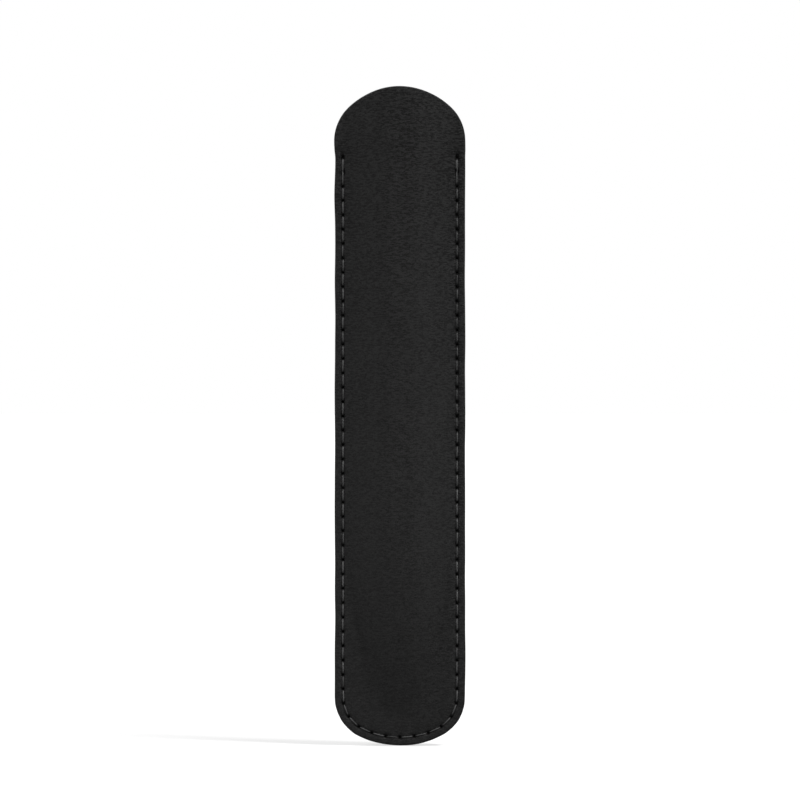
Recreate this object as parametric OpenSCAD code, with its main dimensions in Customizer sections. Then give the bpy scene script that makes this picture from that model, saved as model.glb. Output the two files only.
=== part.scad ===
// Single pen sleeve: two lined leather panels sewn together round the sides and the foot.
// It stands upright on its foot with its mouth up. The front faces -Y, and all sizes are in millimetres.

/* [Outline] */
// Width across the cut edges
sleeve_w = 31.7; // [30:0.1:38]
// Height from the foot to the crown of the mouth
sleeve_h = 160; // [130:0.5:180]
// Rise of the arch at the mouth
mouth_rise = 12.7; // [11.5:0.1:15]
// Corner radius of the arch at the mouth
mouth_corner_r = 10.7; // [7:0.1:11.5]
// Rise of the rounded foot
foot_rise = 11.7; // [11:0.1:14]
// Corner radius of the foot
foot_corner_r = 10.5; // [7:0.1:10.8]

/* [Layers] */
// Thickness of the leather
leather_t = 1.2; // [0.8:0.05:1.8]
// Thickness of the lining
lining_t = 0.4; // [0.3:0.05:0.8]

/* [Pocket] */
// Thickest pen that the pocket takes
pen_d = 10.5; // [8:0.1:12]
// Room between that pen and the lining, on the diameter
pen_clearance = 0.5; // [0.2:0.1:1.5]
// Width of the flat strip along the pocket's crown
crown_flat = 3.2; // [2:0.2:5]
// Bend radius of the lining beside that strip
crown_r = 7; // [5.5:0.1:8]
// Bend radius of the lining where the pocket rises from the seam
root_r = 3.4; // [2.8:0.1:4.2]
// Distance from the stitches to where the two sides part
root_gap = 0.7; // [0.5:0.1:1.2]
// Height at which the pocket starts to thin towards the foot
taper_start = 62; // [40:1:75]
// Height at which the pocket has closed
taper_end = 8; // [6:0.5:14]

/* [Seam] */
// Distance from the cut edge to the stitches
stitch_inset = 2; // [1.6:0.1:3]
// Distance from the spring of the mouth's arch down to the first needle hole
seam_drop = 4.4; // [2:0.1:12]
// Length of one stitch
stitch_pitch = 3.5; // [2.5:0.1:5]
// Diameter of a needle hole
needle_hole_d = 0.9; // [0.7:0.05:1.2]
// Diameter of the thread
thread_d = 0.45; // [0.3:0.05:0.6]

/* [Hidden] */

// Largest turn from one point of a curve to the next, in degrees
curve_step = 4;
// How far a cutting or clipping shape reaches past what it cuts
past = 1;
// Sides of a needle hole or a thread, and of the large circle of the pocket's taper
small_sides = 24;
swing_sides = 256;
// A stitch is pulled tight, so it is this much thinner than the legs in the holes
stitch_slim = 0.03;
// Each stitch ends this far from the middle of its hole, where the thread dips in
stitch_dip = 0.12;
// Share of a stitch's thickness that the legs reach up to in that dip
dip_share = 0.7;

half_w = sleeve_w / 2;
wall = leather_t + lining_t;
pocket_half = (pen_d + pen_clearance) / 2;

// Both arches are three-centred: a corner, a flatter crown and a corner
foot_crown_r = arch_crown_r(foot_rise, foot_corner_r);
mouth_spring = sleeve_h - mouth_rise;

// The pocket's section: a flat crown, a bend, a straight flank and a bend into the seam
flat_x = crown_flat / 2;
crown_y = pocket_half - crown_r;
root_x = half_w - stitch_inset - root_gap;
flank_run = norm([root_x - flat_x, root_r - crown_y]);
flank_deg = asin((crown_r + root_r) / flank_run) - atan2(root_r - crown_y, root_x - flat_x);

// Below taper_start the section swings back into the seam's plane on a large circle
taper_len = taper_start - taper_end;
taper_r = (pow(taper_len, 2) + pow(pocket_half, 2)) / (2 * pocket_half);

// The line of stitches follows the sides and the foot at a constant distance
foot_split = arch_split(foot_crown_r, foot_rise, foot_corner_r);
stitch_crown_r = foot_crown_r - stitch_inset;
stitch_corner_r = foot_corner_r - stitch_inset;
stitch_crown_len = arc_len(stitch_crown_r, foot_split);
stitch_corner_len = arc_len(stitch_corner_r, 90 - foot_split);
seam_side_len = mouth_spring - seam_drop - foot_rise;
half_seam_len = stitch_crown_len + stitch_corner_len + seam_side_len;
half_stitches = round(half_seam_len / stitch_pitch);
stitch_step = half_seam_len / half_stitches;

function arc_len(r, deg) = r * deg * PI / 180;
function polar(r, deg) = r * [cos(deg), sin(deg)];
function arc(centre, r, from, to) =
    let (steps = max(1, ceil(abs(to - from) / curve_step)))
    [for (i = [0:steps]) centre + polar(r, from + (to - from) * i / steps)];
function mirrored_back(points) = [for (i = [len(points) - 1:-1:0]) [-points[i].x, points[i].y]];

function arch_crown_r(rise, corner_r) =
    (pow(half_w - corner_r, 2) + pow(rise, 2) - pow(corner_r, 2)) / (2 * (rise - corner_r));
function arch_split(crown_radius, rise, corner_r) =
    atan2(half_w - corner_r, crown_radius - rise);

// Right half of an arch, from its spring to just before its crown
function half_arch(rise, corner_r) =
    let (
        crown_radius = arch_crown_r(rise, corner_r),
        split = arch_split(crown_radius, rise, corner_r),
        corner = arc([half_w - corner_r, 0], corner_r, 0, 90 - split),
        crown = arc([0, rise - crown_radius], crown_radius, 90 - split, 90)
    )
    concat(corner, [for (i = [1:len(crown) - 2]) crown[i]]);
function arch(rise, corner_r) =
    let (half = half_arch(rise, corner_r))
    concat(half, [[0, rise]], mirrored_back(half));

// Point on the line of stitches, at a signed distance from the middle of the foot
function seam_point(along) =
    let (d = abs(along), side = sign(along))
    d < stitch_crown_len
        ? let (deg = d / arc_len(stitch_crown_r, 1))
          [side * stitch_crown_r * sin(deg), foot_crown_r - stitch_crown_r * cos(deg)]
    : d < stitch_crown_len + stitch_corner_len
        ? let (deg = foot_split + (d - stitch_crown_len) / arc_len(stitch_corner_r, 1))
          [
              side * (half_w - foot_corner_r + stitch_corner_r * sin(deg)),
              foot_rise - stitch_corner_r * cos(deg)
          ]
    : [side * (half_w - stitch_inset), foot_rise + d - stitch_crown_len - stitch_corner_len];

// Right half of the pocket's section at a distance from the lining's inner face
function half_section(out) =
    concat(
        arc([root_x, root_r], root_r - out, -90, -90 - flank_deg),
        arc([flat_x, crown_y], crown_r + out, 90 - flank_deg, 90)
    );
function section(out) =
    let (half = half_section(out))
    concat([[root_x, -past]], half, mirrored_back(half), [[-root_x, -past]]);

module outline() {
    mouth = arch(mouth_rise, mouth_corner_r);
    foot = arch(foot_rise, foot_corner_r);
    polygon(concat(
        [for (p = mouth) [p.x, mouth_spring + p.y]],
        [for (p = foot) [-p.x, foot_rise - p.y]]
    ));
}

// A slab of the outline that lies between two depths
module slab(from, to) {
    translate([0, to, 0])
        rotate([90, 0, 0])
            linear_extrude(height = to - from) outline();
}

// Everything under the pocket's surface, where that surface is straight
module straight_swell(out) {
    translate([0, 0, taper_start])
        linear_extrude(height = sleeve_h - taper_start + past) polygon(section(out));
}

// Everything under it where it thins towards the foot
module tapered_swell(out) {
    swing = acos((taper_r - pocket_half - past) / (taper_r + out));
    translate([0, pocket_half - taper_r, taper_start])
        mirror([0, 0, 1])
            rotate([90, 0, 90])
                rotate_extrude(angle = swing, $fn = swing_sides)
                    polygon([for (p = section(out)) [taper_r - pocket_half + p.y, p.x]]);
}

// A round post at each hole of the seam, between two depths
module at_each_hole(diameter, from, to) {
    for (i = [-half_stitches:half_stitches]) {
        p = seam_point(i * stitch_step);
        translate([p.x, from, p.y])
            rotate([-90, 0, 0]) cylinder(d = diameter, h = to - from, $fn = small_sides);
    }
}

// One layer of a panel, between two distances from the lining's inner face
module layer(inner, outer) {
    difference() {
        intersection() {
            union() {
                slab(inner, outer);
                straight_swell(outer);
                tapered_swell(outer);
            }
            slab(inner, pocket_half + wall + past);
        }
        straight_swell(inner);
        tapered_swell(inner);
        at_each_hole(needle_hole_d, inner - past, outer + past);
    }
}

// One thread: a stitch on the leather between each two holes, and a leg down each hole
module thread() {
    stitch_d = thread_d - stitch_slim;
    at_each_hole(thread_d, 0, wall + dip_share * stitch_d);
    for (i = [-half_stitches:half_stitches - 1]) {
        p = seam_point(i * stitch_step);
        q = seam_point((i + 1) * stitch_step);
        translate([p.x, wall + stitch_d / 2, p.y])
            rotate([0, atan2(q.x - p.x, q.y - p.y), 0])
                translate([0, 0, stitch_dip])
                    cylinder(d = stitch_d, h = norm(q - p) - 2 * stitch_dip, $fn = small_sides);
    }
}

module leather() {
    color([0.15, 0.15, 0.15]) layer(lining_t, wall);
}

module lining() {
    color([0.2, 0.19, 0.18]) layer(0, lining_t);
}

module front_panel() {
    mirror([0, 1, 0]) leather();
}

module back_panel() {
    leather();
}

module front_lining() {
    mirror([0, 1, 0]) lining();
}

module back_lining() {
    lining();
}

module needle_thread() {
    color([0.3, 0.3, 0.3]) mirror([0, 1, 0]) thread();
}

module bobbin_thread() {
    color([0.3, 0.3, 0.3]) thread();
}

front_panel();
back_panel();
front_lining();
back_lining();
needle_thread();
bobbin_thread();
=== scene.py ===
import math
import random

import bmesh
import bpy
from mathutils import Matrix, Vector, noise


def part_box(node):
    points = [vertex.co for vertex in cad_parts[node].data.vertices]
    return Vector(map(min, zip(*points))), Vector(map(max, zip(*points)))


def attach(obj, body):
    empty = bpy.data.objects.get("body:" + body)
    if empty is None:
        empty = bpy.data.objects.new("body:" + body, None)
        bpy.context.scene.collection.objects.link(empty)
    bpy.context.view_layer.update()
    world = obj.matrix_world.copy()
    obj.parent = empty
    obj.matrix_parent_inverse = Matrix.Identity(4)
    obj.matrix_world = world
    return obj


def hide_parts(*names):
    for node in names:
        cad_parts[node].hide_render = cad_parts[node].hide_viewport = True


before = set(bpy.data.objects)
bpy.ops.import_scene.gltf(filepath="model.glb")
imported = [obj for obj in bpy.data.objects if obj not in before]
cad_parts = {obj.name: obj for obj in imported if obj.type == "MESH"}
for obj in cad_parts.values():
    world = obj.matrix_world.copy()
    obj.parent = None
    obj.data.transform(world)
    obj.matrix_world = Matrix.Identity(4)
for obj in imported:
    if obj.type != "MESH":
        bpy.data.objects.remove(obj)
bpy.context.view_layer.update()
mm = 0.001
quarterTurn = math.pi / 2
tiny = 1e-4  # mm; places that are closer than this are the same
print("frame loaded")

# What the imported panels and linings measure, in millimetres
panelBox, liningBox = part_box("back_panel"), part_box("back_lining")
halfWidth = panelBox[1].x / mm
sleeveHeight = panelBox[1].z / mm
liningT = panelBox[0].y / mm
leatherT = (panelBox[1].y - liningBox[1].y) / mm
wall = leatherT + liningT
pocketHalf = liningBox[1].y / mm - liningT

# The cut of both panels and the shape that the pocket gives them, in millimetres
sleeveCut = {
    "footRise": 11.7,
    "footCornerR": 10.5,
    "mouthRise": 12.7,
    "mouthCornerR": 10.7,
    "crownFlat": 3.2,  # width of the flat strip along the pocket's crown
    "crownR": 7.0,  # the bend beside that strip
    "rootR": 3.4,  # and the one where the pocket rises from the seam
    "rootGap": 0.7,  # from the stitches to that bend
    "taperStart": 62.0,  # below this height the pocket thins
    "taperEnd": 8.0,  # and here it has closed
    "lipFlare": 0.1,  # the lips above the seam stand this much wider than the sewn sides
    "flareRun": 2.5,  # and reach that over this length
    "lipGap": 0.16,  # and each of them stands this much further out than the pocket
    "edgeWander": 0.12,  # the cut strays this far from its line
    "wanderLength": 9.0,  # in waves of this length
    "wanderPlace": 4.3,  # that are read from this place in the noise
    "wanderReach": 3.0,  # this far inside the cut nothing of it is left
}

seam = {
    "inset": 2.0,  # from the cut edge to the stitches
    "drop": 4.4,  # from the spring of the mouth to the first hole
    "pitch": 3.5,
    "holeR": 0.45,
    "open": (0.56, 0.36),  # half length and half width that the thread's pull draws a hole out to
    "grip": (0.46, 0.09),  # the same under the grain, where the leather grips the two legs
    "endWiden": 1.25,  # the first and the last hole are drawn out more
    "tightFrom": (60, 90),  # up the right side, over these heights, the thread gets tighter
    "tightOpen": 0.16,  # and the holes this much longer
    "grooveDepth": 0.06,  # the thread presses this groove into the leather
    "grooveHalf": 0.34,
    "grooveFade": (1.2, 0.2),  # past the last hole it is gone from here on, and full up to here
    "dimpleDepth": 0.32,  # and the thread pulls the grain down round each hole
    "dimpleR": 0.55,
    "pressReach": 3,  # the leather is flat again this many dimples' radii from the stitches
}


def archShape(rise, cornerR):
    # A three-centred arch across the sleeve: the crown's radius and the half angle it spans
    crownR = ((halfWidth - cornerR) ** 2 + rise**2 - cornerR**2) / (2 * (rise - cornerR))
    return crownR, math.atan2(halfWidth - cornerR, crownR - rise)


footCrownR, footSplit = archShape(sleeveCut["footRise"], sleeveCut["footCornerR"])
mouthCrownR, mouthSplit = archShape(sleeveCut["mouthRise"], sleeveCut["mouthCornerR"])
mouthSpring = sleeveHeight - sleeveCut["mouthRise"]
sideLength = mouthSpring - sleeveCut["footRise"]

# The right half of the border, from the middle of the foot to the mouth's crown
borderRuns = [
    {"x": 0, "z": footCrownR, "r": footCrownR, "from": -quarterTurn, "turn": footSplit},
    {
        "x": halfWidth - sleeveCut["footCornerR"],
        "z": sleeveCut["footRise"],
        "r": sleeveCut["footCornerR"],
        "from": footSplit - quarterTurn,
        "turn": quarterTurn - footSplit,
    },
    {"x": halfWidth, "z": sleeveCut["footRise"], "length": sideLength},
    {
        "x": halfWidth - sleeveCut["mouthCornerR"],
        "z": mouthSpring,
        "r": sleeveCut["mouthCornerR"],
        "from": 0,
        "turn": quarterTurn - mouthSplit,
    },
    {
        "x": 0,
        "z": sleeveHeight - mouthCrownR,
        "r": mouthCrownR,
        "from": quarterTurn - mouthSplit,
        "turn": mouthSplit,
    },
]
for run in borderRuns:
    if "r" in run:
        run["length"] = (run["r"] - seam["inset"]) * run["turn"]
halfBorder = sum(run["length"] for run in borderRuns)
toMouthSpring = sum(run["length"] for run in borderRuns[:3])
halfStitches = round((toMouthSpring - seam["drop"]) / seam["pitch"])
pitch = (toMouthSpring - seam["drop"]) / halfStitches
seamEnd = halfStitches * pitch

# The seam's left end draws the sides in, and they swell again on both sides of it
edgeQuirks = [
    {"at": -seamEnd, "reach": 2.4, "push": -0.08},
    {"at": 8.5 - seamEnd, "reach": 5.0, "push": 0.12},
    {"at": -seamEnd - 3.5, "reach": 3.0, "push": 0.1},
]


def borderPlace(along, inset):
    # x and z of a point inset mm inside the cut edge, along mm round the line of stitches
    side = -1 if along < 0 else 1
    left = abs(along)
    for run in borderRuns:
        if left <= run["length"] or run is borderRuns[-1]:
            break
        left -= run["length"]
    if "r" not in run:
        return side * (run["x"] - inset), run["z"] + left
    angle = run["from"] + left / (run["r"] - seam["inset"])
    reach = run["r"] - inset
    return side * (run["x"] + reach * math.cos(angle)), run["z"] + reach * math.sin(angle)


def ease(value, zero, one):
    # 0 at and before the value zero, 1 at and past the value one, and a smooth step between
    share = min(1.0, max(0.0, (value - zero) / (one - zero)))
    return share * share * (3 - 2 * share)


flatX = sleeveCut["crownFlat"] / 2
crownY = pocketHalf - sleeveCut["crownR"]
rootX = halfWidth - seam["inset"] - sleeveCut["rootGap"]
flankRun = math.hypot(rootX - flatX, sleeveCut["rootR"] - crownY)
flankTilt = math.asin((sleeveCut["crownR"] + sleeveCut["rootR"]) / flankRun) - math.atan2(
    sleeveCut["rootR"] - crownY, rootX - flatX
)
taperLength = sleeveCut["taperStart"] - sleeveCut["taperEnd"]
taperR = (taperLength**2 + pocketHalf**2) / (2 * pocketHalf)


def pocketHeight(x, z, out):
    # How far from the seam's plane a layer's face lies, out mm outside the lining's inner face
    bend = sleeveCut["crownR"] + out
    bendEnd = flatX + bend * math.sin(flankTilt)
    reach = abs(x)
    if reach < flatX:
        rise = pocketHalf
    elif reach < bendEnd:
        rise = crownY + math.sqrt(bend**2 - (reach - flatX) ** 2) - out
    else:
        rise = crownY + bend * math.cos(flankTilt) - out - (reach - bendEnd) * math.tan(flankTilt)
    below = max(0.0, sleeveCut["taperStart"] - z)
    rise -= taperR - math.sqrt(taperR**2 - below**2)
    soft = math.tan(flankTilt) ** 2 * (sleeveCut["rootR"] - out) / 2
    if rise <= -soft:
        return out
    if rise >= soft:
        return out + rise
    return out + (rise + soft) ** 2 / (4 * soft)


panelMesh = {
    # Its rows round the edge, inside the cut
    "insets": [0, 0.07, 0.22, 0.45, 0.95, 1.55, 2.0, 2.45, 2.95, 3.6, 4.4],
    "lipSteps": 3,  # columns between the last hole and the mouth's spring
    "mouthSteps": 22,  # columns from there to the mouth's crown, as many as the foot has
    "edgeRound": 0.45,
    "backRound": 0.1,
    "glueGap": 0.01,  # a layer's inner face stands this far off what it lies on
    "paintedTo": 0.3,  # the edge paint laps this far onto the grain side
    "waveReach": 3.0,  # the leather's waves are full this far inside the cut
    # Their lengths across and up the sleeve, their height and their place in the noise
    "waves": [
        {"across": 11.0, "up": 17.6, "height": 0.07, "place": 3.7},
        {"across": 3.1, "up": 4.3, "height": 0.021, "place": 9.1},
    ],
}


def columnStops():
    # Distances along the line of stitches at which the mesh has a column, for the right half
    hole = seam["holeR"]
    stops = []
    for k in range(halfStitches):
        at = k * pitch
        stops += [at, at + hole, at + pitch / 2, at + pitch - hole]
    stops += [seamEnd, seamEnd + hole]
    lipStep = (toMouthSpring - stops[-1]) / panelMesh["lipSteps"]
    stops += [stops[-1] + lipStep * (i + 1) for i in range(panelMesh["lipSteps"])]
    mouthStep = (halfBorder - toMouthSpring) / panelMesh["mouthSteps"]
    return stops + [stops[-1] + mouthStep * (i + 1) for i in range(panelMesh["mouthSteps"])]


def holeOffset(along):
    # Signed distance along the seam from the nearest hole
    nearest = max(-halfStitches, min(halfStitches, round(along / pitch)))
    return along - nearest * pitch


def onHoleRim(along, inset):
    off, across = abs(holeOffset(along)), abs(inset - seam["inset"])
    return max(off, across) < seam["holeR"] + tiny


def pulledTight(along):
    # 1 for stitches high on the right side, 0 elsewhere
    x, z = borderPlace(along, seam["inset"])
    return ease(x, 0, halfWidth) * ease(z, *seam["tightFrom"])


def holeRimPlace(along, inset, gripped=False):
    # The same place on a hole's rim, drawn onto an ellipse round the hole
    off, across = holeOffset(along), inset - seam["inset"]
    length = math.hypot(off, across) or 1
    reachAlong, reachAcross = seam["grip"] if gripped else seam["open"]
    if not gripped:
        reachAlong += seam["tightOpen"] * pulledTight(along - off)
        if abs(along - off) > seamEnd - pitch / 2:
            length /= seam["endWiden"]
    return borderPlace(
        along - off + reachAlong * off / length, seam["inset"] + reachAcross * across / length
    )


def cutPlace(along, inset):
    # borderPlace with drawn-out holes, a cut that strays a little and lips that stand wider
    if onHoleRim(along, inset):
        return holeRimPlace(along, inset)
    flare = sleeveCut["lipFlare"] * ease(abs(along), seamEnd, seamEnd + sleeveCut["flareRun"])
    flare *= ease(abs(along), halfBorder, toMouthSpring)
    x, z = borderPlace(along, 0)
    spot = Vector((x, sleeveCut["wanderPlace"], z)) / sleeveCut["wanderLength"]
    flare += sleeveCut["edgeWander"] * noise.noise(spot)
    for quirk in edgeQuirks:
        flare += quirk["push"] * math.exp(-(((along - quirk["at"]) / quirk["reach"]) ** 2))
    return borderPlace(along, inset - flare * ease(inset, sleeveCut["wanderReach"], 0))


def growRing(bm, edges):
    # Extrudes edges into the next ring and gives that ring's vertices and edges
    grown = bmesh.ops.extrude_edge_only(bm, edges=edges)["geom"]
    verts = [g for g in grown if isinstance(g, bmesh.types.BMVert)]
    edges = [g for g in grown if isinstance(g, bmesh.types.BMEdge)]
    fresh = set(verts)
    return verts, [e for e in edges if fresh.issuperset(e.verts)]


def placeObject(name, data):
    made = bpy.data.objects.new(name, data)
    bpy.context.scene.collection.objects.link(made)
    return made


def placeMesh(name, bm):
    mesh = bpy.data.meshes.new(name)
    bm.to_mesh(mesh)
    bm.free()
    return placeObject(name, mesh)


def cutSheet():
    # A flat sheet of the sleeve's cut at y = 0, with its needle holes punched
    stops = columnStops()
    around = stops + [-s for s in reversed(stops[1:-1])]
    bm = bmesh.new()
    alongLayer = bm.verts.layers.float.new("along")
    insetLayer = bm.verts.layers.float.new("inset")
    rim = bmesh.ops.create_circle(bm, segments=len(around), radius=1)["verts"]
    for vert, along in zip(rim, around):
        vert[alongLayer] = along
        x, z = cutPlace(along, 0)
        vert.co = (x, 0, z)
    edges = bm.edges[:]
    for inset in panelMesh["insets"][1:]:
        verts, edges = growRing(bm, edges)
        for vert in verts:
            vert[insetLayer] = inset
            x, z = cutPlace(vert[alongLayer], inset)
            vert.co = (x, 0, z)
    # A grid between the foot's columns and the mouth's fills what is left open
    footReach = stops[panelMesh["mouthSteps"]] + tiny
    mouthReach = stops[-1 - panelMesh["mouthSteps"]] - tiny
    ends = [e for e in edges if all(abs(v[alongLayer]) < footReach for v in e.verts)]
    ends += [e for e in edges if all(abs(v[alongLayer]) > mouthReach for v in e.verts)]
    filled = bmesh.ops.grid_fill(bm, edges=ends, use_smooth=True)["faces"]
    for vert in {v for f in filled for v in f.verts}.difference(verts):
        vert[insetLayer] = 2 * panelMesh["insets"][-1]
    centres = [
        v
        for v in bm.verts
        if abs(v[insetLayer] - seam["inset"]) < tiny
        and abs(v[alongLayer]) < seamEnd + tiny
        and abs(holeOffset(v[alongLayer])) < tiny
    ]
    bmesh.ops.delete(bm, geom=centres, context="VERTS")
    return bm, alongLayer, insetLayer


def roundedDrop(inset, radius):
    # How far a rounded edge has fallen at a distance from the rim
    if inset >= radius:
        return 0.0
    return radius - math.sqrt(radius**2 - (radius - inset) ** 2)


def seamPress(along, inset):
    # How deep the thread's pull sinks the leather
    across = inset - seam["inset"]
    if abs(across) > seam["pressReach"] * seam["dimpleR"]:
        return 0.0
    gone, full = seam["grooveFade"]
    live = ease(abs(along), seamEnd + gone, seamEnd + full)
    groove = seam["grooveDepth"] * math.exp(-((across / seam["grooveHalf"]) ** 2)) * live
    off = math.hypot(holeOffset(along), across)
    return groove + seam["dimpleDepth"] * math.exp(-((off / seam["dimpleR"]) ** 2))


def leatherWave(x, z, side):
    # Height of the leather's unevenness, different on the two panels
    height = 0.0
    for wave in panelMesh["waves"]:
        spot = Vector((x / wave["across"], wave["place"] * side, z / wave["up"]))
        height += wave["height"] * noise.noise(spot)
    return height


def buildLayer(name, side, inner, outer, edgeRound, worked):
    # One closed layer of a panel between two distances from the lining's inner face. side is -1 in
    # front, and worked is True for leather, whose grain side is uneven and pressed by the seam
    bm, alongLayer, insetLayer = cutSheet()
    grown = bmesh.ops.extrude_face_region(bm, geom=bm.faces[:])["geom"]
    backVerts = {g for g in grown if isinstance(g, bmesh.types.BMVert)}
    for vert in bm.verts:
        x, z = vert.co.x, vert.co.z
        along, inset = vert[alongLayer], vert[insetLayer]
        back = vert in backVerts
        nearEdge = inset <= panelMesh["insets"][-1]
        if nearEdge and onHoleRim(along, inset) and (back or not worked):
            x, z = holeRimPlace(along, inset, gripped=True)
        if back:
            y = pocketHeight(x, z, inner) + panelMesh["glueGap"]
            y += roundedDrop(inset, panelMesh["backRound"]) if nearEdge else 0
        else:
            y = pocketHeight(x, z, outer)
            if nearEdge:
                y -= roundedDrop(inset, edgeRound)
                y -= seamPress(along, inset) if worked else 0
            if worked:
                y += leatherWave(x, z, side) * ease(inset, 0, panelMesh["waveReach"])
        y += sleeveCut["lipGap"] * ease(z, mouthSpring - seam["drop"], mouthSpring)
        vert.co = Vector((x, side * y, z)) * mm
    for face in bm.faces:
        face.smooth = True
        insets = [v[insetLayer] for v in face.verts]
        backs = sum(v in backVerts for v in face.verts)
        rim = max(insets) < tiny
        # The needle holes' walls take the darker edge paint: painted shade down the holes
        shadedBore = all(onHoleRim(v[alongLayer], v[insetLayer]) for v in face.verts)
        lap = worked and backs in (0, len(insets)) and max(insets) < panelMesh["paintedTo"]
        face.material_index = 1 if rim or shadedBore or lap else 0
    bmesh.ops.recalc_face_normals(bm, faces=bm.faces)
    return placeMesh(name, bm)


def finishPiece(piece, nodeName, slotName, *materials):
    for material in materials:
        piece.data.materials.append(material)
    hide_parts(nodeName)
    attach(piece, "root")


# Lengths in millimetres. Heights are over the leather's face
threadRun = {
    "seed": 11,
    "radius": 0.168,
    "sides": 6,
    "twist": 2.4,  # length of one full turn of the plies
    "crest": 1.1,  # the plies' crests and the valleys between them, as shares of the radius
    "valley": 0.86,
    "sway": 0.07,  # how far a stitch wanders to either side
    "swayFrom": -0.7,  # the height in the hole from which it does
    "thinner": 0.18,  # how much a stitch's thickness changes
    "double": 0.11,  # the last stitch is sewn twice, with the two strands this far off the line
    # Distance from the hole's centre and height, from the hole upwards
    "rise": [
        (0.22, -1.2),
        (0.22, -0.85),
        (0.26, -0.62),
        (0.38, -0.44),
        (0.58, -0.28),
        (0.85, -0.14),
        (1.15, -0.07),
        (1.45, -0.05),
    ],
    # The same where it only lies across a hole
    "pass": [(0.0, -0.13), (0.25, -0.08), (0.5, -0.05), (0.8, -0.04), (1.15, -0.04), (1.45, -0.04)],
    "top": -0.04,  # height of a stitch's middle
    "bottom": -1.37,  # where the thread turns, deep in the hole
    "tail": -0.55,  # height of a cut end
    "knotReach": 2.3,  # how far the end goes on, in distances between the two legs in a hole
    "holeShade": (-0.42, -0.19),  # painted shade: down its hole the thread's colour darkens between these heights
    "bright": (0.44, 0.84),  # brightness of the crests
    "brighterUp": 0.5,  # painted highlight: a stitch's upper end is this much brighter than its lower one
    "valleyShade": 0.45,  # painted shade in the valleys between the plies, as a share of the crests' brightness
    # Stitches low on the foot, from the first height down to the second, and those pulled tight
    "foot": {"heights": (40, 3), "thinner": 0.17, "dimmer": 0.27},
    # for tight stitches the last value raises where the painted shade down the hole starts
    "tight": {"thinner": 0.16, "dimmer": 0.26, "deeper": 0.12},
}


def stitchPoints(k, shift, wander, rises):
    # One stitch from hole k to the next: place, way across the seam, thickness and brightness
    start = Vector(borderPlace(k * pitch, seam["inset"]))
    end = Vector(borderPlace((k + 1) * pitch, seam["inset"]))
    gap = (end - start).length
    run = (end - start) / gap
    across = Vector((run.y, -run.x))
    lean = [shift + wander.uniform(-1, 1) * threadRun["sway"] for _ in range(2)]
    thick = 1 + wander.uniform(-1, 1) * threadRun["thinner"]
    bright = wander.uniform(*threadRun["bright"])
    foot, tight = threadRun["foot"], threadRun["tight"]
    low, tightness = ease(start.y, *foot["heights"]), pulledTight(k * pitch)
    for look, share in ((tight, tightness), (foot, low)):
        thick *= 1 - look["thinner"] * share
        bright *= 1 - look["dimmer"] * share
    holeShadeFrom, holeShadeTo = (h + tight["deeper"] * tightness for h in threadRun["holeShade"])
    profile = threadRun[rises[0]] + [(gap / 2, threadRun["top"])]
    profile += [(gap - s, h) for s, h in reversed(threadRun[rises[1]])]
    if rises[0] == "pass":
        profile.pop(0)  # the stitch before it ends there
    points = []
    for s, h in profile:
        share = s / gap
        sway = (lean[0] + (lean[1] - lean[0]) * share) * ease(h, threadRun["swayFrom"], 0)
        place = start + run * s + across * sway
        # painted highlight towards each stitch's upper end
        shade = bright + threadRun["brighterUp"] * (share - 0.5) * run.y
        # painted shade down the hole
        shade *= ease(h, holeShadeFrom, holeShadeTo)
        points.append((Vector((place.x, wall + h, place.y)), across, thick, shade))
    return points


def endKnot(along, leg):
    # Past the last stitch the thread crosses the foot of its hole and ends there
    x, z = borderPlace(along, seam["inset"])
    foot = Vector((x, wall + threadRun["bottom"], z))
    beyond = foot + (foot - leg[0]) * threadRun["knotReach"]
    return [(foot, *leg[1:]), (Vector((beyond.x, foot.y, beyond.z)), *leg[1:])]


def threadStrands(side):
    # The long run and, at both ends, the short one of the stitch that is sewn twice
    wander = random.Random(threadRun["seed"] + side)
    first, last = -halfStitches, halfStitches - 1
    run = []
    for k in range(first, last + 1):
        shift = threadRun["double"] if k in (first, last) else 0
        rises = [
            "pass" if k in (first + 1, last) else "rise",
            "pass" if k in (first, last - 1) else "rise",
        ]
        stitch = stitchPoints(k, shift, wander, rises)
        if k > first and rises[0] == "rise":
            x, z = borderPlace(k * pitch, seam["inset"])
            run.append((Vector((x, wall + threadRun["bottom"], z)), *stitch[0][1:]))
        run += stitch
    strands = [endKnot(-seamEnd, run[0])[::-1] + run + endKnot(seamEnd, run[-1])]
    deep = wall + threadRun["tail"]
    for k, way in ((first, 1), (last, -1)):
        short = stitchPoints(k, -threadRun["double"], wander, ["rise", "rise"])[::way]
        while short[0][0].y < deep:
            short.pop(0)
        strands.append(short + endKnot(way * (pitch - seamEnd), short[-1]))
    return strands


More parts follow.
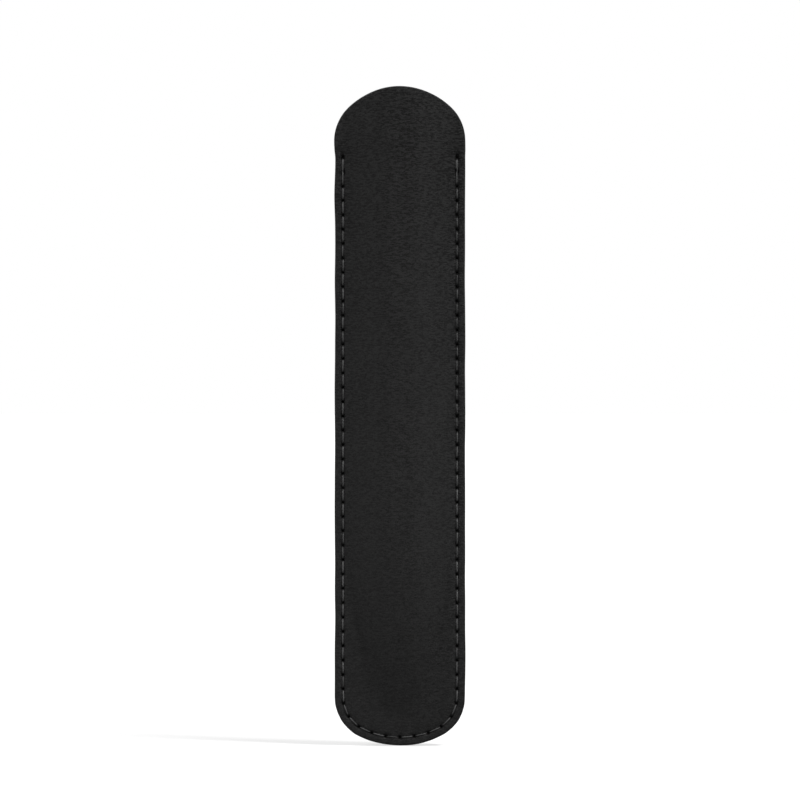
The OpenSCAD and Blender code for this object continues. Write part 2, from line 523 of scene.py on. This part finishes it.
def growStrand(bm, points, side):
    # A closed twisted tube along the points
    sides = threadRun["sides"]
    turnLayer = bm.verts.layers.float["turn"]
    toneAndShadeLayer = bm.verts.layers.float["crest"]
    verts = bmesh.ops.create_circle(bm, segments=sides, radius=threadRun["radius"])["verts"]
    for i, vert in enumerate(verts):
        vert[turnLayer] = i / sides
    edges = [e for v in verts for e in v.link_edges if e.verts[0] == v]
    length = 0.0
    for i, (place, across, thick, bright) in enumerate(points):
        before, after = points[max(0, i - 1)][0], points[min(len(points) - 1, i + 1)][0]
        length += (place - before).length
        tangent = (after - before).normalized()
        sideways = Vector((across.x, 0, across.y))
        sideways = (sideways - tangent * sideways.dot(tangent)).normalized()
        upward = tangent.cross(sideways)
        if i:
            verts, edges = growRing(bm, edges)
        for vert in verts:
            angle = 2 * math.pi * (vert[turnLayer] + length / threadRun["twist"])
            onCrest = round(vert[turnLayer] * sides) % 2 == 0
            ply = threadRun["crest"] if onCrest else threadRun["valley"]
            # the thread's tone, with painted shade in the valleys between the plies
            vert[toneAndShadeLayer] = bright if onCrest else bright * threadRun["valleyShade"]
            spoke = sideways * math.cos(angle) + upward * math.sin(angle)
            spot = place + spoke * threadRun["radius"] * ply * thick
            vert.co = Vector((spot.x, side * spot.y, spot.z)) * mm


def buildThread(name, side):
    # All strands of one thread
    bm = bmesh.new()
    bm.verts.layers.float.new("turn")
    bm.verts.layers.float.new("crest")
    for strand in threadStrands(side):
        growStrand(bm, strand, side)
    bmesh.ops.holes_fill(bm, edges=[e for e in bm.edges if e.is_boundary], sides=0)
    bmesh.ops.recalc_face_normals(bm, faces=bm.faces)
    for face in bm.faces:
        face.smooth = True
    return placeMesh(name, bm)


def shaderNode(tree, kind, values=None, **settings):
    made = tree.nodes.new(kind)
    for key, value in settings.items():
        setattr(made, key, value)
    for key, value in (values or {}).items():
        made.inputs[key].default_value = value
    return made


def mathNode(tree, operation, first, second, **settings):
    made = shaderNode(tree, "ShaderNodeMath", operation=operation, **settings)
    tree.links.new(first, made.inputs[0])
    tree.links.new(second, made.inputs[1])
    return made.outputs[0]


def rangeNode(tree, value, before, after, **settings):
    # Maps the range before onto the range after, and holds what lies outside at the ends
    values = dict(zip(("From Min", "From Max", "To Min", "To Max"), (*before, *after)))
    made = shaderNode(tree, "ShaderNodeMapRange", values, **settings)
    tree.links.new(value, made.inputs["Value"])
    return made.outputs["Result"]


def toneNode(tree, share, tones):
    made = shaderNode(tree, "ShaderNodeMix", data_type="RGBA")
    made.inputs["A"].default_value, made.inputs["B"].default_value = tones
    tree.links.new(share, made.inputs["Factor"])
    return made.outputs["Result"]


def scaleNode(tree, vector, share):
    made = shaderNode(tree, "ShaderNodeVectorMath", operation="SCALE")
    tree.links.new(vector, made.inputs[0])
    tree.links.new(share, made.inputs["Scale"])
    return made.outputs[0]


def newGroup(name, inputs, outputs):
    group = bpy.data.node_groups.new(name, "ShaderNodeTree")
    for socket, kind in inputs.items():
        group.interface.new_socket(name=socket, in_out="INPUT", socket_type=kind)
    for socket, kind in outputs.items():
        group.interface.new_socket(name=socket, in_out="OUTPUT", socket_type=kind)
    return group, shaderNode(group, "NodeGroupInput"), shaderNode(group, "NodeGroupOutput")


grainLook = {
    "warp": {"Scale": 700, "Detail": 2},
    "push": 0.0005,  # metres that the warp moves the grain by
    "cellStretch": (0.42, 0.42, 1),
    "cells": {"Scale": 4200},
    "crease": (0, 0.22),  # a cell rises over these distances from its edge
    "foldStretch": (0.24, 0.24, 1),
    "folds": {"Scale": 3700, "Detail": 1, "Distortion": 0.3},
    "fold": (0.43, 0.56),  # and a wrinkle over these values of its noise
}


def stretched(group, place, stretch):
    made = shaderNode(group, "ShaderNodeVectorMath", {1: stretch}, operation="MULTIPLY")
    group.links.new(place, made.inputs[0])
    return made.outputs[0]


def grainGroup():
    # Fine cells between creases, with low wrinkles that run across the sleeve
    group, given, out = newGroup(
        "leatherGrain",
        {"Vector": "NodeSocketVector", "Cells": "NodeSocketFloat", "Wrinkles": "NodeSocketFloat"},
        {"Height": "NodeSocketFloat", "Crease": "NodeSocketFloat"},
    )
    link = group.links.new
    warp = shaderNode(group, "ShaderNodeTexNoise", grainLook["warp"])
    centre = shaderNode(group, "ShaderNodeVectorMath", {1: (0.5, 0.5, 0.5)}, operation="SUBTRACT")
    amount = {"Scale": grainLook["push"]}
    push = shaderNode(group, "ShaderNodeVectorMath", amount, operation="SCALE")
    bent = shaderNode(group, "ShaderNodeVectorMath", operation="ADD")
    link(given.outputs["Vector"], warp.inputs["Vector"])
    link(warp.outputs["Color"], centre.inputs[0])
    link(centre.outputs[0], push.inputs[0])
    link(push.outputs[0], bent.inputs[0])
    link(given.outputs["Vector"], bent.inputs[1])
    toEdge = {"feature": "DISTANCE_TO_EDGE"}
    cells = shaderNode(group, "ShaderNodeTexVoronoi", grainLook["cells"], **toEdge)
    folds = shaderNode(group, "ShaderNodeTexNoise", grainLook["folds"])
    for texture, stretch in ((cells, "cellStretch"), (folds, "foldStretch")):
        link(stretched(group, bent.outputs[0], grainLook[stretch]), texture.inputs["Vector"])
    smooth = {"interpolation_type": "SMOOTHSTEP"}
    cellTop = rangeNode(group, cells.outputs["Distance"], grainLook["crease"], (0, 1), **smooth)
    foldTop = rangeNode(group, folds.outputs["Fac"], grainLook["fold"], (0, 1))
    cellPart = mathNode(group, "MULTIPLY", cellTop, given.outputs["Cells"])
    foldPart = mathNode(group, "MULTIPLY", foldTop, given.outputs["Wrinkles"])
    height = mathNode(group, "ADD", cellPart, foldPart)
    whole = mathNode(group, "ADD", given.outputs["Cells"], given.outputs["Wrinkles"])
    link(height, out.inputs["Height"])
    link(mathNode(group, "SUBTRACT", whole, height, use_clamp=True), out.inputs["Crease"])
    return group


mottleLook = {
    "noise": {"Detail": 3, "Roughness": 0.55},
    "spread": (0.3, 0.7),  # the values of the noise between which a patch goes from Low to High
}


def mottleGroup():
    # Slow patches of tone that keep a finish from looking sprayed on
    sockets = {name: "NodeSocketFloat" for name in ("Scale", "Low", "High")}
    group, given, out = newGroup(
        "softMottle", {"Vector": "NodeSocketVector", **sockets}, {"Value": "NodeSocketFloat"}
    )
    link = group.links.new
    patches = shaderNode(group, "ShaderNodeTexNoise", mottleLook["noise"])
    link(given.outputs["Vector"], patches.inputs["Vector"])
    link(given.outputs["Scale"], patches.inputs["Scale"])
    low, high = mottleLook["spread"]
    spread = shaderNode(group, "ShaderNodeMapRange", {"From Min": low, "From Max": high})
    link(patches.outputs["Fac"], spread.inputs["Value"])
    link(given.outputs["Low"], spread.inputs["To Min"])
    link(given.outputs["High"], spread.inputs["To Max"])
    link(spread.outputs["Result"], out.inputs["Value"])
    return group


grain, mottle = grainGroup(), mottleGroup()


def newMaterial(name, shine):
    # shine sets the sockets that are the same all over the surface
    material = bpy.data.materials.new(name)
    material.use_nodes = True
    tree = material.node_tree
    shader = tree.nodes["Principled BSDF"]
    for socket, value in shine.items():
        shader.inputs[socket].default_value = value
    place = shaderNode(tree, "ShaderNodeTexCoord").outputs["Object"]
    return material, tree, shader, place


def placeGroup(tree, group, place, values):
    made = shaderNode(tree, "ShaderNodeGroup", node_tree=group)
    for key, value in values.items():
        made.inputs[key].default_value = value
    tree.links.new(place, made.inputs["Vector"])
    return made


def finishShader(tree, shader, color, roughness, height, relief):
    # relief is the bumps' height in metres
    bump = shaderNode(tree, "ShaderNodeBump", {"Distance": relief})
    tree.links.new(height, bump.inputs["Height"])
    tree.links.new(bump.outputs["Normal"], shader.inputs["Normal"])
    tree.links.new(color, shader.inputs["Base Color"])
    tree.links.new(roughness, shader.inputs["Roughness"])


def grey(value):
    return (value, value, value, 1)


leatherLook = {
    "tones": (grey(0.0195), grey(0.002)),  # of the cells and of the creases; the creases' dark is partly their own and partly painted shade of the fine relief
    "shine": {"Specular IOR Level": 0.08},
    "roughness": (0.4, 0.56),
    "relief": 0.00008,
    "cells": 0.45,
    "wrinkles": {"Scale": 90, "Low": 0.66, "High": 0.82},  # they come and go in patches
    "calmTo": 0.25,  # up to this share of the height they are lower, by footShare
    "footShare": 0.44,
    "mouthShare": 0.8,
    "acrossShare": (0.94, 1.2),  # and they are stronger on the right side than on the left
    "patches": {"Scale": 160, "Low": 0.94, "High": 1.06},
    "darkTo": 0.3,  # painted shade: up to this share of the height the leather is darker, by the next value at the foot
    "footShade": 0.76,
}


def leatherMaterial():
    look = leatherLook
    material, tree, shader, place = newMaterial("blackLeather", look["shine"])
    spot = shaderNode(tree, "ShaderNodeSeparateXYZ")
    tree.links.new(place, spot.inputs[0])
    x, z = spot.outputs["X"], spot.outputs["Z"]
    top, edge = sleeveHeight * mm, halfWidth * mm
    shares = (look["footShare"], look["mouthShare"])
    upShare = rangeNode(tree, z, (look["calmTo"] * top, top), shares)
    acrossShare = rangeNode(tree, x, (-edge, edge), look["acrossShare"])
    wrinkles = placeGroup(tree, mottle, place, look["wrinkles"]).outputs["Value"]
    wrinkles = mathNode(tree, "MULTIPLY", wrinkles, upShare)
    relief = placeGroup(tree, grain, place, {"Cells": look["cells"]})
    tree.links.new(mathNode(tree, "MULTIPLY", wrinkles, acrossShare), relief.inputs["Wrinkles"])
    crease = relief.outputs["Crease"]
    patches = placeGroup(tree, mottle, place, look["patches"]).outputs["Value"]
    # painted shade, darker towards the foot
    shadeByHeight = rangeNode(tree, z, (0, look["darkTo"] * top), (look["footShade"], 1))
    share = mathNode(tree, "MULTIPLY", patches, shadeByHeight)
    color = scaleNode(tree, toneNode(tree, crease, look["tones"]), share)
    roughness = rangeNode(tree, crease, (0, 1), look["roughness"])
    finishShader(tree, shader, color, roughness, relief.outputs["Height"], look["relief"])
    return material


edgeLook = {
    "tones": (grey(0.006), grey(0.0095)),
    "shine": {"Specular IOR Level": 0.06},
    "roughness": (0.38, 0.5),
    "relief": 0.00009,
    "patches": {"Scale": 420, "Low": 0, "High": 1},
}


def edgeMaterial():
    # Burnished edge paint, smoother than the grain, with the brush's slight waves
    look = edgeLook
    material, tree, shader, place = newMaterial("edgePaint", look["shine"])
    patches = placeGroup(tree, mottle, place, look["patches"]).outputs["Value"]
    color = toneNode(tree, patches, look["tones"])
    roughness = rangeNode(tree, patches, (0, 1), look["roughness"])
    finishShader(tree, shader, color, roughness, patches, look["relief"])
    return material


suedeLook = {
    "tones": ((0.013, 0.0125, 0.012, 1), (0.038, 0.036, 0.034, 1)),
    "shine": {"Specular IOR Level": 0.1, "Sheen Weight": 0.25, "Sheen Roughness": 0.5},
    "roughness": (0.82, 1),
    "relief": 0.00008,
    "patches": {"Scale": 240, "Low": 0, "High": 1},
    "pile": {"Scale": 5200, "Detail": 2},
    "pileShare": 0.55,  # how much the pile adds to the patches
}


def liningMaterial():
    # Napped microsuede: brushed patches over a fine pile
    look = suedeLook
    material, tree, shader, place = newMaterial("darkSuede", look["shine"])
    patches = placeGroup(tree, mottle, place, look["patches"]).outputs["Value"]
    pile = shaderNode(tree, "ShaderNodeTexNoise", look["pile"])
    tree.links.new(place, pile.inputs["Vector"])
    pile = pile.outputs["Fac"]
    both = shaderNode(tree, "ShaderNodeMath", {1: look["pileShare"]}, operation="MULTIPLY_ADD")
    tree.links.new(pile, both.inputs[0])
    tree.links.new(patches, both.inputs[2])
    color = toneNode(tree, both.outputs[0], look["tones"])
    roughness = rangeNode(tree, pile, (0, 1), look["roughness"])
    finishShader(tree, shader, color, roughness, pile, look["relief"])
    return material


stitchLook = {
    "tones": (grey(0.003), grey(0.16)),  # painted shade deep in a hole, and the brightest crest there could be
    "shine": {"Specular IOR Level": 0.25},
    "roughness": (0.45, 0.7),
    "relief": 0.00003,
    "patches": {"Scale": 500, "Low": 0.8, "High": 1.2},
    "fibres": {"Scale": 9000, "Detail": 2},
}


def threadMaterial():
    # Bonded thread: light crests, painted shade in the valleys between the plies and down the
    # holes, and fine fibres
    look = stitchLook
    material, tree, shader, place = newMaterial("greyThread", look["shine"])
    # crest holds the thread's tone with its painted highlight and painted shade
    crest = shaderNode(tree, "ShaderNodeAttribute", attribute_name="crest").outputs["Fac"]
    patches = placeGroup(tree, mottle, place, look["patches"]).outputs["Value"]
    fibres = shaderNode(tree, "ShaderNodeTexNoise", look["fibres"])
    tree.links.new(place, fibres.inputs["Vector"])
    fibres = fibres.outputs["Fac"]
    color = scaleNode(tree, toneNode(tree, crest, look["tones"]), patches)
    roughness = rangeNode(tree, fibres, (0, 1), look["roughness"])
    finishShader(tree, shader, color, roughness, fibres, look["relief"])
    return material


leather, edgePaint = leatherMaterial(), edgeMaterial()
suede, bondedThread = liningMaterial(), threadMaterial()
print("materials made")

for word, side in (("front", -1), ("back", 1)):
    panel = buildLayer(word + "Leather", side, liningT, wall, panelMesh["edgeRound"], True)
    smoother = panel.modifiers.new("smooth", "SUBSURF")
    smoother.levels = smoother.render_levels = 1
    finishPiece(panel, word + "_panel", "leather", leather, edgePaint)
    lining = buildLayer(word + "Suede", side, 0, liningT, panelMesh["backRound"], False)
    finishPiece(lining, word + "_lining", "lining", suede, edgePaint)
    print(word, "panel and lining built")

for word, side in (("needle", -1), ("bobbin", 1)):
    thread = buildThread(word + "Stitches", side)
    finishPiece(thread, word + "_thread", "thread", bondedThread)
print("threads sewn")

studio = {
    "lens": 250,  # mm, on a sensor of 36
    "sensor": 36,
    "viewHeight": 0.1946,  # what the picture spans at the sleeve
    "eyeHeight": 0.084,
    "clip": (0.05, 100),
    "worldLight": 0.33,
    "floorHalf": 30,
    "floorShare": 0.5,  # how much of the floor's white is its own, and not the lamps'
    "floorColor": (0.2, 0.78),  # what it throws onto the sleeve, and what the camera sees
    "suns": {
        "keySun": {"strength": 3.45, "azimuth": 58, "elevation": 51, "angle": 18},
        "fillSun": {"strength": 1.4, "azimuth": -60, "elevation": 32, "angle": 30},
        "backSun": {"strength": 1.5, "azimuth": 200, "elevation": 50, "angle": 30},
    },
}


def showsBackdrop(tree):
    # 1 for rays that should meet a white background: the camera's, and those of gloss and glass
    path = shaderNode(tree, "ShaderNodeLightPath")
    either = mathNode(tree, "ADD", path.outputs["Is Camera Ray"], path.outputs["Is Glossy Ray"])
    return mathNode(tree, "ADD", either, path.outputs["Is Transmission Ray"], use_clamp=True)


def blendShaders(tree, share, first, second, surface):
    either = shaderNode(tree, "ShaderNodeMixShader")
    for source, socket in zip((share, first.outputs[0], second.outputs[0]), either.inputs):
        tree.links.new(source, socket)
    tree.links.new(either.outputs[0], surface)


def makeWorld():
    world = bpy.data.worlds.new("studio")
    world.use_nodes = True
    bpy.context.scene.world = world
    tree = world.node_tree
    dim = tree.nodes["Background"]
    dim.inputs["Color"].default_value = grey(1)
    dim.inputs["Strength"].default_value = studio["worldLight"]
    white = shaderNode(tree, "ShaderNodeBackground", {"Color": grey(1), "Strength": 1})
    surface = tree.nodes["World Output"].inputs["Surface"]
    blendShaders(tree, showsBackdrop(tree), dim, white, surface)


def makeFloor():
    bm = bmesh.new()
    bmesh.ops.create_grid(bm, x_segments=2, y_segments=2, size=studio["floorHalf"])
    floor = placeMesh("floor", bm)
    material = bpy.data.materials.new("paleFloor")
    material.use_nodes = True
    tree = material.node_tree
    tree.nodes.remove(tree.nodes["Principled BSDF"])
    seen = showsBackdrop(tree)
    matt = shaderNode(tree, "ShaderNodeBsdfDiffuse")
    tree.links.new(rangeNode(tree, seen, (0, 1), studio["floorColor"]), matt.inputs["Color"])
    own = shaderNode(tree, "ShaderNodeEmission", {"Color": grey(1), "Strength": 1})
    share = shaderNode(tree, "ShaderNodeMath", {1: studio["floorShare"]}, operation="MULTIPLY")
    tree.links.new(seen, share.inputs[0])
    surface = tree.nodes["Material Output"].inputs["Surface"]
    blendShaders(tree, share.outputs[0], matt, own, surface)
    floor.data.materials.append(material)


def makeSun(name, strength, azimuth, elevation, angle):
    # azimuth 0 is in front of the sleeve and 90 to its right
    lamp = bpy.data.lights.new(name, "SUN")
    lamp.energy = strength
    lamp.angle = math.radians(angle)
    turn, lift = math.radians(azimuth), math.radians(elevation)
    flat = math.cos(lift)
    towards = Vector((math.sin(turn) * flat, -math.cos(turn) * flat, math.sin(lift)))
    placeObject(name, lamp).rotation_euler = towards.to_track_quat("Z", "Y").to_euler()


def makeCamera():
    lens = bpy.data.cameras.new("camera")
    lens.lens, lens.sensor_width = studio["lens"], studio["sensor"]
    lens.clip_start, lens.clip_end = studio["clip"]
    away = studio["viewHeight"] * studio["lens"] / studio["sensor"]
    camera = placeObject("camera", lens)
    camera.location = (0, -away, studio["eyeHeight"])
    camera.rotation_euler = (quarterTurn, 0, 0)
    bpy.context.scene.camera = camera


makeWorld()
makeFloor()
for name, sun in studio["suns"].items():
    makeSun(name, **sun)
makeCamera()
bpy.context.scene.view_settings.view_transform = "Standard"
print("studio set up")
